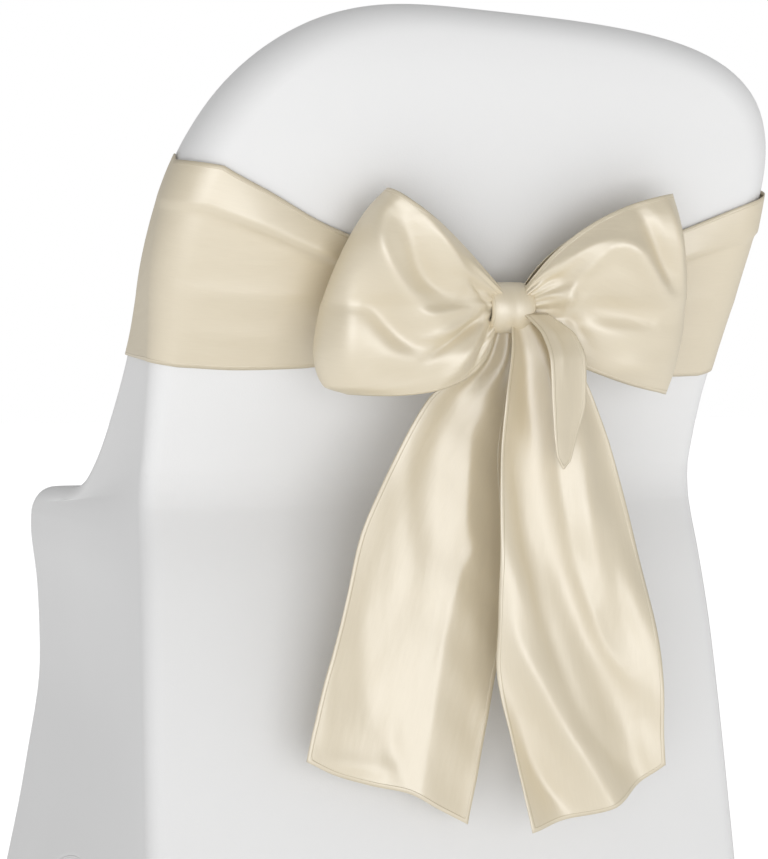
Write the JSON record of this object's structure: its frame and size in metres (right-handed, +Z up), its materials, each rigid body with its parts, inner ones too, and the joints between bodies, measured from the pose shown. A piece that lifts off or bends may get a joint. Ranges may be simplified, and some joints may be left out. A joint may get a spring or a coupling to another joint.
{
  "type": "chair cover with sash",
  "caption": "Fitted stretch cover for a banquet chair, hollow, with a leaning back rounded at its top, a seat, a skirt arched between foot pockets, and a satin sash tied in a bow behind",
  "frame": {"origin": "on the underside of the cover's top, above the middle of the chair's top rail that carries it", "axes": "+X to the right of someone behind the chair, +Y from the back towards the front of the seat, +Z up"},
  "size_m": [0.4804, 0.6176, 0.792],
  "materials": {
    "stretch_cloth": "matt white stretch knit",
    "pocket_cloth": "matt white doubled stretch knit",
    "satin": "glossy champagne satin"
  },
  "bodies": {
    "root": {"cover": "stretch_cloth", "foot_pocket_rear_left": "pocket_cloth", "foot_pocket_rear_right": "pocket_cloth", "foot_pocket_front_left": "pocket_cloth", "foot_pocket_front_right": "pocket_cloth", "sash": "satin"}
  },
  "joints": []
}
